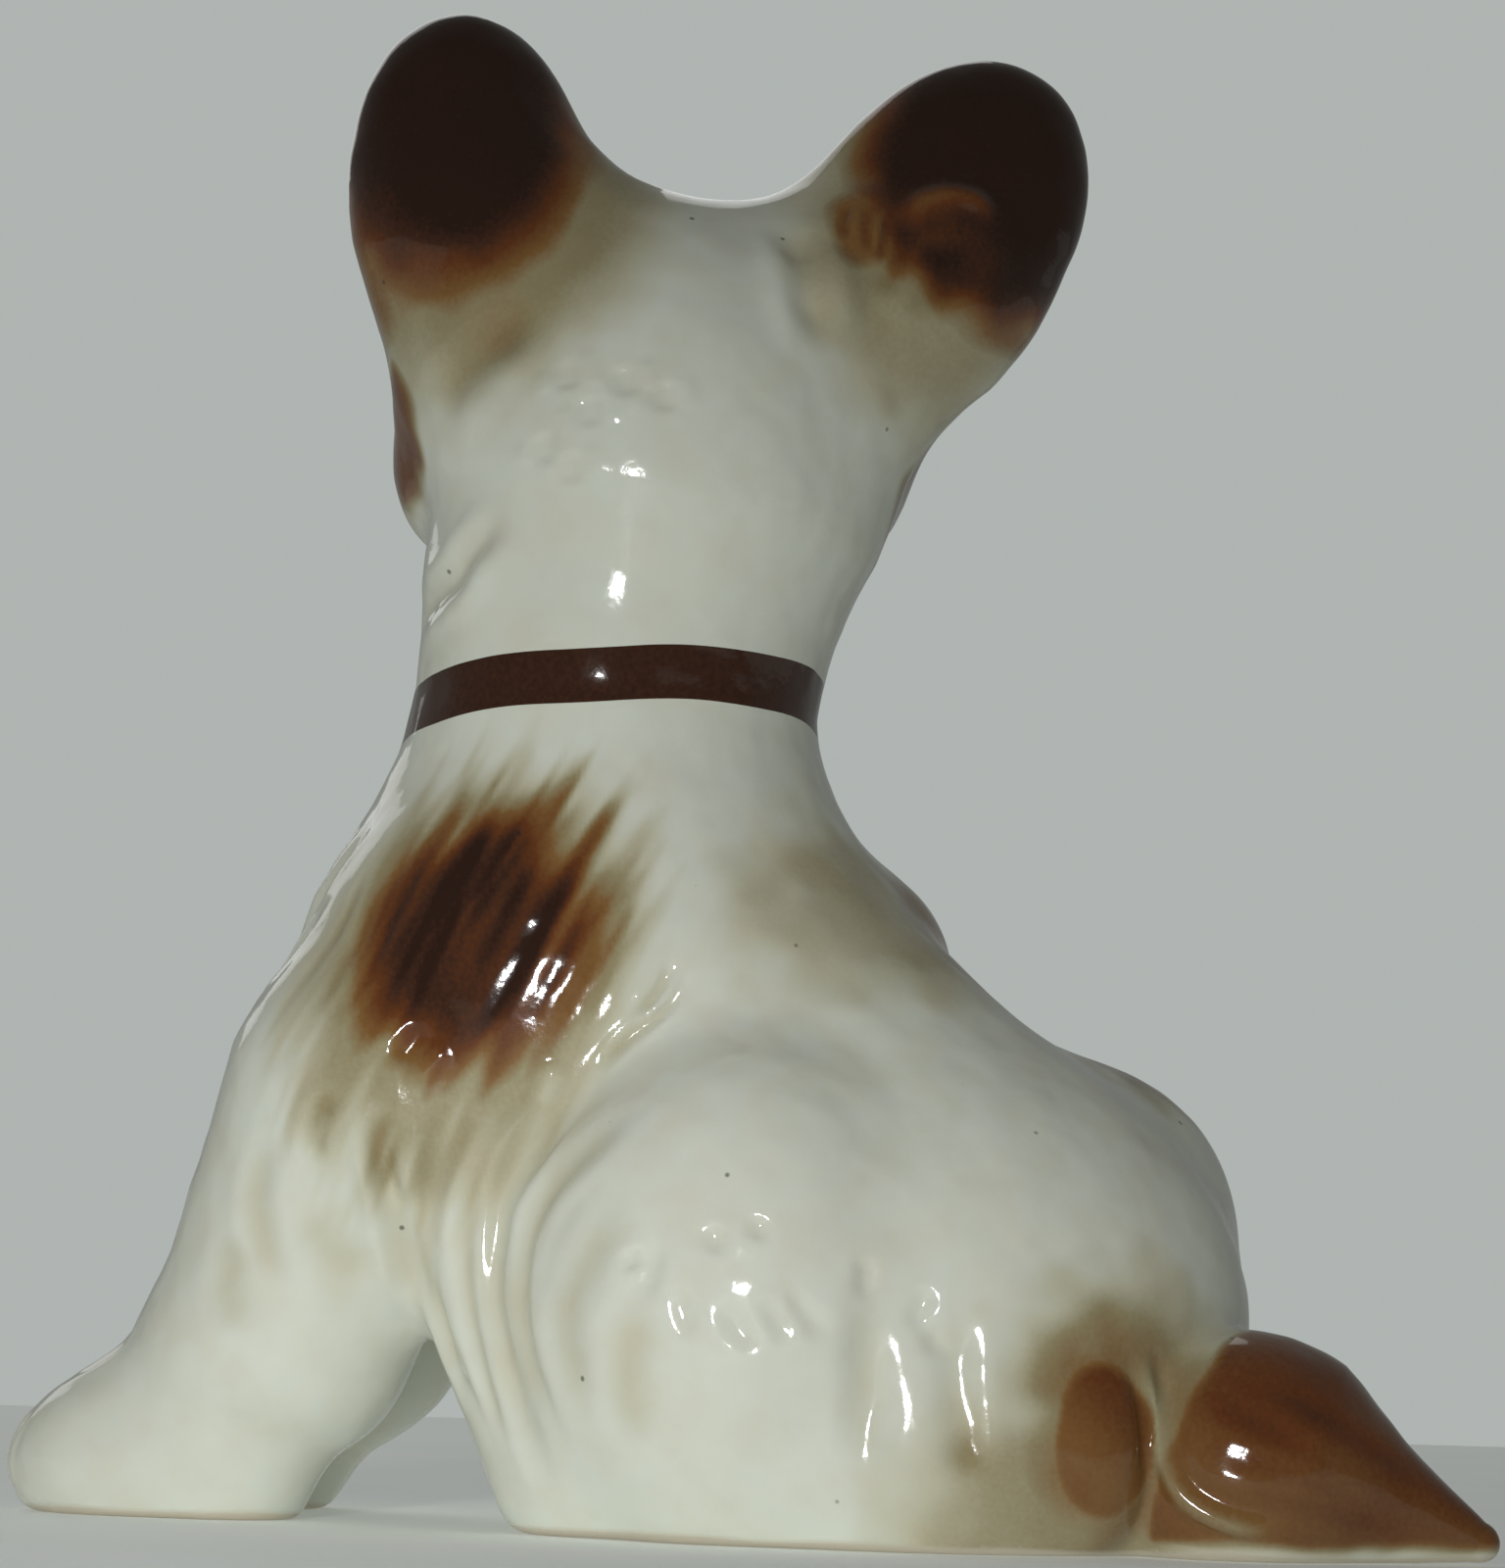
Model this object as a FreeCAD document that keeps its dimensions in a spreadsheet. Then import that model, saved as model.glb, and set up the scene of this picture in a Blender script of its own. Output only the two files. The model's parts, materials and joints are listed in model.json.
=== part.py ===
"""A seated long-coated toy dog in slip-cast ceramic, modelled as the castings it is luted from.

Millimetres, +Z up. The dog's body faces -Y and its left side is +X; the head is turned to the dog's
right. The origin is on the underside, on the seat, where the figurine stands.
"""
import FreeCAD, Part
import os
import Sketcher

from FreeCAD import Placement, Rotation, Vector

os.makedirs("parts", exist_ok=True)
doc = FreeCAD.newDocument("SeatedDog")

# ---------------------------------------------------------------- driving dimensions

DIMENSIONS = {
    # castings
    "wall_thickness": 3.0,
    "vent_diameter": 6.0,
    "vent_from_origin": 20.0,
    # haunches, one each side of the rump
    "haunch_from_middle": 13.0,
    "haunch_behind_origin": 5.0,
    "haunch_height": 16.5,
    "haunch_half_width": 13.0,
    "haunch_half_length": 16.5,
    "haunch_half_height": 19.5,
    "foreleg_from_middle": 10.0,
    # collar and the neck joint that it covers
    "collar_center_x": 0.1,
    "collar_center_y": -10.8,
    "collar_center_z": 58.8,
    "collar_lean": 6.0,
    "collar_inner_radius": 13.0,
    "collar_outer_radius": 14.8,
    "collar_band_height": 3.9,
    # head, placed by its centre and turned from straight ahead
    "head_center_x": -1.2,
    "head_center_y": -8.4,
    "head_center_z": 80.0,
    "head_turn": 64.0,
    "head_roll": 7.0,
    "neck_radius": 14.0,
    "nape_radius": 15.8,
    "neck_length": 24.0,
    "neck_bore_radius": 11.0,
}

# Masses of the head and tail: centre (right, forward, up), then half sizes in the same directions.
# The head's are in the head's own frame; the tail tuft's are in the figurine's frame.
MASSES = {
    "skull": (0.0, 0.0, 0.5, 16.8, 15.5, 17.0),
    "left_cheek": (-12.0, 5.0, -5.0, 6.4, 7.8, 6.4),
    "right_cheek": (12.4, 5.0, -2.0, 6.4, 7.8, 5.8),
    "muzzle": (0.0, 12.5, -5.5, 8.0, 12.0, 7.0),
    "left_ear": (-16.6, -1.0, 15.6, 8.6, 5.5, 12.8),
    "left_ear_root": (-14.0, 0.0, 5.0, 6.0, 5.5, 9.0),
    "right_ear": (17.6, -1.0, 18.0, 9.2, 5.5, 14.0),
    "right_ear_root": (12.5, 0.0, 7.0, 6.5, 5.5, 9.0),
    "eye": (6.8, 13.3, 3.2, 2.3, 1.7, 2.3),
    "nose": (0.0, 23.6, -4.0, 3.2, 2.2, 2.4),
    "tuft": (11.2, 30.6, 7.0, 4.6, 4.6, 6.2),
}
EAR_SPLAY = {"left_ear": -14.0, "right_ear": 26.0}

# Level sections, from the ground up: height, centre along Y, half width, half length.
TORSO_SECTIONS = {
    "seat": (0.0, 12.0, 19.0, 23.0),
    "hip": (8.0, 9.5, 20.0, 27.5),
    "loin": (16.0, 7.0, 20.5, 30.0),
    "belly": (26.0, 1.5, 20.0, 32.5),
    "chest": (35.0, -5.5, 20.0, 29.5),
    "withers": (45.0, -10.5, 18.5, 22.0),
    "throat": (53.0, -11.0, 15.8, 17.2),
    "neck": (60.0, -11.0, 14.2, 14.4),
    "crest": (66.0, -11.0, 13.8, 14.0),
}
LEFT_FORELEG_SECTIONS = {
    "sole": (0.0, -39.6, 6.5, 10.4),
    "paw": (4.0, -40.2, 7.3, 11.8),
    "pastern": (9.0, -36.9, 7.4, 11.1),
    "wrist": (14.0, -32.4, 7.8, 10.4),
    "forearm": (22.0, -29.0, 8.5, 10.5),
    "elbow": (31.0, -26.0, 8.5, 10.5),
    "shoulder": (41.0, -20.0, 3.0, 4.0),
}
# The right foreleg stands a little further forward and is slimmer at the ankle.
RIGHT_FORELEG_SECTIONS = {
    "sole": (0.0, -43.4, 6.5, 7.6),
    "paw": (4.0, -43.7, 7.3, 8.3),
    "pastern": (9.0, -40.2, 7.3, 8.6),
    "wrist": (14.0, -35.6, 7.7, 8.8),
    "forearm": (22.0, -30.4, 8.5, 9.6),
    "elbow": (31.0, -26.0, 8.5, 10.5),
    "shoulder": (41.0, -20.0, 3.0, 4.0),
}
LEVEL_FAMILIES = {
    "torso": TORSO_SECTIONS,
    "left_foreleg": LEFT_FORELEG_SECTIONS,
    "right_foreleg": RIGHT_FORELEG_SECTIONS,
}
# Upright sections of the tail plume, from root to tip: place along Y, centre X, centre Z, half sizes.
PLUME_SECTIONS = {
    "root": (29.0, 3.0, 6.5, 8.0, 8.8),
    "swell": (37.5, 3.0, 6.0, 9.4, 9.8),
    "middle": (44.0, 2.2, 5.6, 8.6, 8.8),
    "taper": (50.5, 0.8, 4.0, 5.2, 5.6),
    "tip": (57.0, -0.5, 1.8, 1.6, 1.8),
}


def all_dimensions():
    """Every driving dimension by alias, with the tables spelt out one cell per value."""
    cells = dict(DIMENSIONS)
    for mass, values in MASSES.items():
        for part, value in zip(("right", "forward", "up", "half_x", "half_y", "half_z"), values):
            cells[f"{mass}_{part}"] = value
    for ear, splay in EAR_SPLAY.items():
        cells[f"{ear}_splay"] = splay
    for family, sections in LEVEL_FAMILIES.items():
        for section, values in sections.items():
            for part, value in zip(("height", "middle", "half_width", "half_length"), values):
                cells[f"{family}_{section}_{part}"] = value
    for section, values in PLUME_SECTIONS.items():
        for part, value in zip(("along", "across", "height", "half_width", "half_height"), values):
            cells[f"plume_{section}_{part}"] = value
    return cells


sheet = doc.addObject("Spreadsheet::Sheet", "Dimensions")
for row, (alias, value) in enumerate(all_dimensions().items(), start=1):
    sheet.set(f"A{row}", alias)
    sheet.set(f"B{row}", str(value))
    sheet.setAlias(f"B{row}", alias)
doc.recompute()


def size(alias):
    """A driving dimension's value, for placements."""
    return float(sheet.get(alias))


# ---------------------------------------------------------------- building blocks

CLEAR = 200.0
LEAST_CUT_VOLUME = 0.01
HEAD_FRAME = Placement(
    Vector(size("head_center_x"), size("head_center_y"), size("head_center_z")),
    Rotation(180.0 - size("head_turn"), size("head_roll"), 0.0),
)
# The collar rises towards the nape, which faces the dog's left rear because the head is turned.
NECK_JOINT = Placement(
    Vector(size("collar_center_x"), size("collar_center_y"), size("collar_center_z")),
    Rotation(Vector(0.63, -0.78, 0.0), size("collar_lean")),
)


def bind(target, **cells):
    """Bind properties of an object to spreadsheet formulas."""
    for prop, formula in cells.items():
        target.setExpression(prop, formula)


def ellipsoid(name, mass, frame=Placement(), splay=0.0, mirror=1.0, smaller_by="0"):
    """An ellipsoid mass from the table, in the given frame, splayed about its forward axis."""
    solid = doc.addObject("Part::Ellipsoid", name)
    bind(
        solid,
        Radius1=f"Dimensions.{mass}_half_z - {smaller_by}",
        Radius2=f"Dimensions.{mass}_half_x - {smaller_by}",
        Radius3=f"Dimensions.{mass}_half_y - {smaller_by}",
    )
    center = Vector(mirror * size(f"{mass}_right"), size(f"{mass}_forward"), size(f"{mass}_up"))
    solid.Placement = frame * Placement(center, Rotation(Vector(0, 1, 0), splay))
    return solid


def level_loft(name, family, smaller_by="0", shift_x="0"):
    """A smooth solid through level elliptical sections, all longer than they are wide."""
    rings = []
    for section in LEVEL_FAMILIES[family]:
        prefix = f"Dimensions.{family}_{section}"
        ring = doc.addObject("Part::Ellipse", f"{name}_{section}")
        ring.Placement = Placement(Vector(), Rotation(Vector(0, 0, 1), 90))
        bind(ring, MajorRadius=f"{prefix}_half_length - {smaller_by}")
        bind(ring, MinorRadius=f"{prefix}_half_width - {smaller_by}")
        ring.setExpression("Placement.Base.x", shift_x)
        ring.setExpression("Placement.Base.y", f"{prefix}_middle")
        ring.setExpression("Placement.Base.z", f"{prefix}_height")
        rings.append(ring)
    return loft(name, rings)


def plume_loft(name):
    """A smooth solid through the plume's upright elliptical sections, which follow along Y."""
    rings = []
    for section in PLUME_SECTIONS:
        prefix = f"Dimensions.plume_{section}"
        ring = doc.addObject("Part::Ellipse", f"{name}_{section}")
        ring.Placement = Placement(Vector(), Rotation(Vector(1, 1, 1), 240))
        bind(ring, MajorRadius=f"{prefix}_half_height", MinorRadius=f"{prefix}_half_width")
        ring.setExpression("Placement.Base.x", f"{prefix}_across")
        ring.setExpression("Placement.Base.y", f"{prefix}_along")
        ring.setExpression("Placement.Base.z", f"{prefix}_height")
        rings.append(ring)
    return loft(name, rings)


def loft(name, rings):
    """A smooth closed solid through closed rings."""
    solid = doc.addObject("Part::Loft", name)
    solid.Sections = rings
    solid.Solid = True
    solid.Ruled = False
    return solid


def fuse(name, *solids):
    """One solid from several that run into each other."""
    joined = doc.addObject("Part::MultiFuse", name)
    joined.Shapes = list(solids)
    joined.Refine = False
    return joined


def cut(name, base, *tools):
    """The base with each tool taken out, and a check that each took something."""
    for number, tool in enumerate(tools):
        last = number == len(tools) - 1
        rest = doc.addObject("Part::Cut", name if last else f"{name}_step{number}")
        rest.Base = base
        rest.Tool = tool
        rest.Refine = False
        doc.recompute()
        if rest.Shape.Volume > base.Shape.Volume - LEAST_CUT_VOLUME:
            raise RuntimeError(f"{name}: cutting with {tool.Name} took nothing away")
        base = rest
    return base


def slab(name, frame, above):
    """A big block on one side of a frame's XY plane, to cut against that plane."""
    block = doc.addObject("Part::Box", name)
    block.Length = CLEAR
    block.Width = CLEAR
    block.Height = CLEAR
    corner = Vector(-CLEAR / 2, -CLEAR / 2, 0.0 if above else -CLEAR)
    block.Placement = frame * Placement(corner, Rotation())
    return block


def label(solid, node):
    """Name a finished piece; the label is also its file's name."""
    solid.Label = node
    return solid


# ---------------------------------------------------------------- body and head outsides

def make_collar():
    """The painted collar as a ring let into the neck, over the joint between head and body."""
    body = doc.addObject("PartDesign::Body", "Collar")
    section = body.newObject("Sketcher::SketchObject", "CollarSection")
    upright = [plane for plane in body.Origin.OriginFeatures if plane.Role == "XZ_Plane"][0]
    section.AttachmentSupport = (upright, "")
    section.MapMode = "FlatFace"
    inner = size("collar_inner_radius")
    outer = size("collar_outer_radius")
    half = size("collar_band_height") / 2
    corners = [
        Vector(inner, -half, 0),
        Vector(outer, -half, 0),
        Vector(outer, half, 0),
        Vector(inner, half, 0),
    ]
    for start, end in zip(corners, corners[1:] + corners[:1]):
        section.addGeometry(Part.LineSegment(start, end))
    for line in range(4):
        section.addConstraint(Sketcher.Constraint("Coincident", line, 2, (line + 1) % 4, 1))
    for line in (0, 2):
        section.addConstraint(Sketcher.Constraint("Horizontal", line))
    section.addConstraint(Sketcher.Constraint("Vertical", 3))
    section.addConstraint(Sketcher.Constraint("Symmetric", 1, 1, 1, 2, -1))
    bound = {
        "collar_inner_radius": Sketcher.Constraint("DistanceX", -1, 1, 0, 1, inner),
        "collar_outer_radius": Sketcher.Constraint("DistanceX", -1, 1, 0, 2, outer),
        "collar_band_height": Sketcher.Constraint("DistanceY", 1, 1, 1, 2, 2 * half),
    }
    for alias, constraint in bound.items():
        section.renameConstraint(section.addConstraint(constraint), alias)
        section.setExpression(f"Constraints.{alias}", f"Dimensions.{alias}")
    ring = body.newObject("PartDesign::Revolution", "CollarRing")
    ring.Profile = section
    ring.ReferenceAxis = (section, ["V_Axis"])
    ring.Angle = 360.0
    doc.recompute()
    body.Placement = NECK_JOINT
    return body


def make_torso_outside():
    """Chest, back and rump in one swelling form, with a haunch each side, standing on the floor."""
    trunk = level_loft("Trunk", "torso")
    haunches = []
    for side, sign in (("Left", 1), ("Right", -1)):
        haunch = doc.addObject("Part::Ellipsoid", f"Haunch{side}")
        bind(
            haunch,
            Radius1="Dimensions.haunch_half_height",
            Radius2="Dimensions.haunch_half_width",
            Radius3="Dimensions.haunch_half_length",
        )
        haunch.Placement.Base = Vector(
            sign * size("haunch_from_middle"),
            size("haunch_behind_origin"),
            size("haunch_height"),
        )
        haunches.append(haunch)
    return cut("TorsoOutside", fuse("TorsoMasses", trunk, *haunches), floor)


def make_head_outside():
    """Skull, cheeks, muzzle and the upper neck as one form."""
    masses = [
        ellipsoid("Skull", "skull", HEAD_FRAME),
        ellipsoid("CheekLeft", "left_cheek", HEAD_FRAME),
        ellipsoid("CheekRight", "right_cheek", HEAD_FRAME),
        ellipsoid("Muzzle", "muzzle", HEAD_FRAME),
    ]
    towards_head = HEAD_FRAME.Base - NECK_JOINT.Base
    towards_head.normalize()
    neck = doc.addObject("Part::Cone", "UpperNeck")
    bind(
        neck,
        Radius1="Dimensions.neck_radius",
        Radius2="Dimensions.nape_radius",
        Height="Dimensions.neck_length",
    )
    below_joint = NECK_JOINT.Base - towards_head * size("collar_band_height")
    neck.Placement = Placement(below_joint, Rotation(Vector(0, 0, 1), towards_head))
    return fuse("HeadOutside", neck, *masses)


collar = make_collar()
floor = slab("Floor", Placement(), above=False)
below_neck = slab("BelowNeckJoint", NECK_JOINT, above=False)
above_neck = slab("AboveNeckJoint", NECK_JOINT, above=True)
torso_outside = make_torso_outside()
head_outside = make_head_outside()

# ---------------------------------------------------------------- the pieces

def make_torso_shell():
    """The body casting: an even wall, a vent hole in the seat, and a neck open for the head."""
    inside = level_loft("TorsoInside", "torso", "Dimensions.wall_thickness")
    seat_wall = Placement(Vector(0, 0, size("wall_thickness")), Rotation())
    cavity = cut("TorsoCavity", inside, slab("SeatWall", seat_wall, above=False))
    vent = doc.addObject("Part::Cylinder", "Vent")
    bind(vent, Radius="Dimensions.vent_diameter / 2", Height="Dimensions.wall_thickness * 3")
    vent.Placement.Base = Vector(0, size("vent_from_origin"), -size("wall_thickness"))
    return cut("TorsoShell", torso_outside, cavity, vent, above_neck, collar)


def make_head_shell():
    """The head casting: hollow under the skull and open through the neck."""
    brain = ellipsoid("SkullInside", "skull", HEAD_FRAME, smaller_by="Dimensions.wall_thickness")
    bore = doc.addObject("Part::Cylinder", "NeckBore")
    bind(bore, Radius="Dimensions.neck_bore_radius", Height="Dimensions.neck_length")
    upper_neck = doc.getObject("UpperNeck")
    bore.Placement = upper_neck.Placement
    cavity = fuse("HeadCavity", brain, bore)
    return cut("HeadShell", head_outside, cavity, below_neck, collar)


def make_ear(side):
    """A rounded, fully furred ear, luted to the side of the skull."""
    splay = size(f"{side}_ear_splay")
    tip = ellipsoid(f"{side}_ear_tip", f"{side}_ear", HEAD_FRAME, splay)
    root = ellipsoid(f"{side}_ear_foot", f"{side}_ear_root", HEAD_FRAME, splay)
    return cut(f"{side}_ear_piece", fuse(f"{side}_ear_masses", tip, root), head_outside)


def make_foreleg(side, sign):
    """A straight foreleg and paw, from the shoulder to the floor."""
    shift = f"{sign} * Dimensions.foreleg_from_middle"
    leg = level_loft(f"{side}_leg", f"{side}_foreleg", shift_x=shift)
    return cut(f"{side}_leg_piece", leg, torso_outside)


def make_plume():
    """The tail lying on the ground behind, pointed at its end."""
    return cut("PlumePiece", plume_loft("Plume"), floor, torso_outside)


def make_tuft(plume):
    """The lock of fur beside the root of the tail."""
    return cut("TuftPiece", ellipsoid("Tuft", "tuft"), torso_outside, plume)


def make_face_piece(name, mass, mirror=1.0):
    """An eye or the nose, set on the front of the head."""
    return cut(f"{name}_piece", ellipsoid(name, mass, HEAD_FRAME, mirror=mirror), head_outside)


plume_piece = label(make_plume(), "tail_plume")
pieces = [
    label(collar, "collar_band"),
    label(make_torso_shell(), "torso_shell"),
    label(make_head_shell(), "head_shell"),
    label(make_ear("left"), "ear_left"),
    label(make_ear("right"), "ear_right"),
    label(make_foreleg("left", 1), "foreleg_left"),
    label(make_foreleg("right", -1), "foreleg_right"),
    plume_piece,
    label(make_tuft(plume_piece), "tail_tuft"),
    label(make_face_piece("EyeLeft", "eye", mirror=-1.0), "eye_left"),
    label(make_face_piece("EyeRight", "eye"), "eye_right"),
    label(make_face_piece("Nose", "nose"), "nose"),
]
doc.recompute()

# ---------------------------------------------------------------- checks and files

for item in doc.Objects:
    if "Invalid" in item.State or "Error" in item.State:
        raise RuntimeError(f"{item.Name} did not compute: {item.State}")
for piece in pieces:
    shape = piece.Shape
    if shape.isNull() or not shape.isValid() or len(shape.Solids) != 1:
        raise RuntimeError(f"{piece.Label} is not one valid solid")
    box = shape.BoundBox
    print(f"{piece.Label}: {shape.Volume / 1000:.2f} cm3, z {box.ZMin:.2f} to {box.ZMax:.2f}")
for piece in pieces:
    piece.Shape.exportStep(f"parts/{piece.Label}.step")
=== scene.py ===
"""The looks of a seated, glazed ceramic toy dog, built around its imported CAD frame.

The whole dog is first one smooth form, made of blended masses. It is meshed, tooled with fur, and
then parted along flat joints into the same pieces as the frame, so no seam shows in the glaze.
The sculpting is in millimetres in the frame's own axes; the meshes are written in metres.
"""
import json
import math

import bmesh
import bpy
import numpy as np
import openvdb
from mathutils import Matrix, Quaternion, Vector


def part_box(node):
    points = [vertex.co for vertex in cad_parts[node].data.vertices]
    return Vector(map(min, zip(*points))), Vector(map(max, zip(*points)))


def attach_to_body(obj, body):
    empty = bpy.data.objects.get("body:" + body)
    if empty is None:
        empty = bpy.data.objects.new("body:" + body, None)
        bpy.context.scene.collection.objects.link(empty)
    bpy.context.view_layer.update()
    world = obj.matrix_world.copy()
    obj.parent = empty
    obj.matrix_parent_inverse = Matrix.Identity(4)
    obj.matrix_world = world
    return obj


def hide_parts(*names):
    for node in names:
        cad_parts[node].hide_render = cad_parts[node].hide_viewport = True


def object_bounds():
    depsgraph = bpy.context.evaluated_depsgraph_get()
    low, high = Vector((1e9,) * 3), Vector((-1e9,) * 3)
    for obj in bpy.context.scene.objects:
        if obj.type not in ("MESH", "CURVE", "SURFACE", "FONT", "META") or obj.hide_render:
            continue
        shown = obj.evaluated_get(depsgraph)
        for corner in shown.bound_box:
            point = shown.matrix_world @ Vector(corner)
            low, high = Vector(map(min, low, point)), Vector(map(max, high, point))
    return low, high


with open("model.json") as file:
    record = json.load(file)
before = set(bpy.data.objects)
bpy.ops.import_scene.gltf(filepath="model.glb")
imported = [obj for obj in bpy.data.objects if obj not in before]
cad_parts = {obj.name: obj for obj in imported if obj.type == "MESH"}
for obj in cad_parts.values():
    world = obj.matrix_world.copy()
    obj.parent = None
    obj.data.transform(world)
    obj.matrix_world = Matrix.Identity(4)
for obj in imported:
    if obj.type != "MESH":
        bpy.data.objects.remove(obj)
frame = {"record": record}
cad_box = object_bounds()

MM = 0.001
GRID_STEP = 1.2
SUBDIVISIONS = 2
SETTLING_STEPS = 3
LANDING_STEPS = 40
UP = np.array([0.0, 0.0, 1.0])


# ---------------------------------------------------------------- places taken from the frame

def middle(node):
    """The middle of a CAD node's box, in millimetres."""
    low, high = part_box(node)
    return (np.array(low) + np.array(high)) / 2 / MM


COLLAR_CENTER = middle("collar_band")
COLLAR_LEAN = math.radians(6.0)
COLLAR_WIDTH = 3.9
COLLAR_TILT_AXIS = np.array([0.63, -0.78, 0.0])
NAPE_TURN = math.atan2(0.63, 0.78)
HEAD_CENTER = np.array([-1.2, -8.4, 80.0])
EYE = np.array([6.8, 13.3, 3.2])
IRIS_OFFSET = np.array([0.25, 1.05, 0.0])
NOSE = np.array([0.0, 23.6, -4.0])
PLUME_ROOT = np.array([0.0, 37.0, 6.0])
PLUME_JOINT = np.array([0.15, 0.94, -0.30])
HEAD_TURN = math.radians(64.0)
HEAD_ROLL = math.radians(7.0)


def head_axes():
    """The head's own axes as columns: its right, its forward and its up."""
    forward = np.array([-math.sin(HEAD_TURN), -math.cos(HEAD_TURN), 0.0])
    level_right = np.cross(forward, UP)
    right = level_right * math.cos(HEAD_ROLL) - UP * math.sin(HEAD_ROLL)
    up = UP * math.cos(HEAD_ROLL) + level_right * math.sin(HEAD_ROLL)
    return np.stack([right, forward, up], axis=1)


HEAD_AXES = head_axes()
COLLAR_NORMAL = (
    UP * math.cos(COLLAR_LEAN) + np.cross(COLLAR_TILT_AXIS, UP) * math.sin(COLLAR_LEAN)
)


def to_head(points):
    """Points in the head's own frame: right, forward and up from the middle of the skull."""
    return (points - HEAD_CENTER) @ HEAD_AXES


def from_head(points):
    """Points of the head's own frame, back in the figurine's frame."""
    return HEAD_CENTER + np.asarray(points, float) @ HEAD_AXES.T


# ---------------------------------------------------------------- masses and blends

def splayed(degrees):
    """Axes turned about the forward axis, so that a positive angle leans up towards the right."""
    angle = math.radians(degrees)
    return np.array(
        [
            [math.cos(angle), 0.0, math.sin(angle)],
            [0.0, 1.0, 0.0],
            [-math.sin(angle), 0.0, math.cos(angle)],
        ]
    )


def ellipsoid(points, center, radii, axes=None):
    """Approximate distance to an ellipsoid."""
    local = points - np.asarray(center, float)
    if axes is not None:
        local = local @ axes
    radii = np.asarray(radii, float)
    scaled = np.linalg.norm(local / radii, axis=-1)
    slope = np.linalg.norm(local / radii**2, axis=-1)
    return scaled * (scaled - 1.0) / np.maximum(slope, 1e-6)


def limb(points, start, end, start_radius, end_radius):
    """Approximate distance to a round-ended limb that tapers from one radius to another."""
    start = np.asarray(start, float)
    along = np.asarray(end, float) - start
    share = np.clip((points - start) @ along / (along @ along), 0.0, 1.0)
    nearest = start + share[:, None] * along
    radius = start_radius + share * (end_radius - start_radius)
    return np.linalg.norm(points - nearest, axis=-1) - radius


def blend(first, second, width):
    """The union of two forms, filleted over the given width."""
    share = np.maximum(width - np.abs(first - second), 0.0) / width
    return np.minimum(first, second) - share**2 * width / 4


def meet(first, second, width):
    """The part that two forms share, with its edge rounded over the given width."""
    return -blend(-first, -second, width)


def both_sides(points):
    """Points folded onto the dog's left side, to shape left and right alike."""
    folded = points.copy()
    folded[:, 0] = np.abs(folded[:, 0])
    return folded


def body_form(points):
    """Neck, chest, back, rump, haunches and forelegs."""
    pair = both_sides(points)
    form = limb(points, (0, -11, 60), (0, -12, 44), 14.0, 18.0)
    form = blend(form, ellipsoid(points, (0, -15, 35), (18, 20, 19)), 6)
    form = blend(form, limb(points, (0, -8, 43), (0, 12, 20), 15, 18), 7)
    form = blend(form, ellipsoid(points, (0, 15.5, 15.5), (20, 22, 19.5)), 5)
    form = blend(form, ellipsoid(points, (0, 14, 6), (21, 23, 14)), 4)
    form = blend(form, ellipsoid(pair, (13, 4.5, 16.5), (13, 16, 19.5)), 2.5)
    form = blend(form, ellipsoid(pair, (11, -15, 36), (9, 13, 16)), 4)
    form = blend(form, limb(pair, (9, -15, 26), (12, -6.5, 5), 9.2, 7), 4)
    form = blend(form, ellipsoid(points, (-9, 20, 23), (11, 14, 12)), 3)
    form = blend(form, ellipsoid(points, (-8, 3, 42), (9, 9, 7)), 3)
    left_leg = limb(points, (10.5, -24, 30), (9.5, -31.5, 14), 11.5, 9.2)
    left_leg = blend(left_leg, limb(points, (9.5, -31.5, 13), (9.5, -42, 5), 8, 6.5), 4)
    left_leg = blend(left_leg, ellipsoid(points, (9.5, -36, 4), (6.8, 6.8, 7)), 3)
    left_leg = blend(left_leg, ellipsoid(points, (9.5, -44, 3.5), (7, 8.5, 6)), 4)
    right_leg = limb(points, (-10.5, -24, 30), (-9.5, -34.5, 14), 11, 8.2)
    right_leg = blend(right_leg, limb(points, (-9.5, -34.5, 14), (-9.5, -42.5, 5), 7.6, 6.2), 4)
    right_leg = blend(right_leg, ellipsoid(points, (-9.5, -44, 3.5), (7, 8.3, 6)), 4)
    return blend(form, np.minimum(left_leg, right_leg), 4)


def head_form(points):
    """Skull, cheeks and muzzle, running down into the upper neck."""
    local = to_head(points)
    pair = both_sides(local)
    neck = limb(points, COLLAR_CENTER + UP, HEAD_CENTER - 6 * UP, 13.6, 15.8)
    form = blend(ellipsoid(local, (0, 0, 0.5), (16.8, 15.5, 17)), neck, 4)
    muzzle = blend(
        limb(local, (0, 8, -5), (0, 18, -6.2), 8.5, 6.0),
        ellipsoid(pair, (3.2, 18.5, -7.2), (4.6, 5.0, 4.4)),
        2.0,
    )
    form = blend(form, muzzle, 4)
    form = blend(form, ellipsoid(local, (-12, 5.5, -5.2), (6.2, 7.5, 6)), 1.2)
    form = blend(form, ellipsoid(local, (12.5, 5.5, -1.5), (6.2, 7.5, 5.4)), 1.2)
    return blend(form, ellipsoid(local, (-10, -2.5, -13), (5.4, 8, 6.5)), 3)


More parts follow.
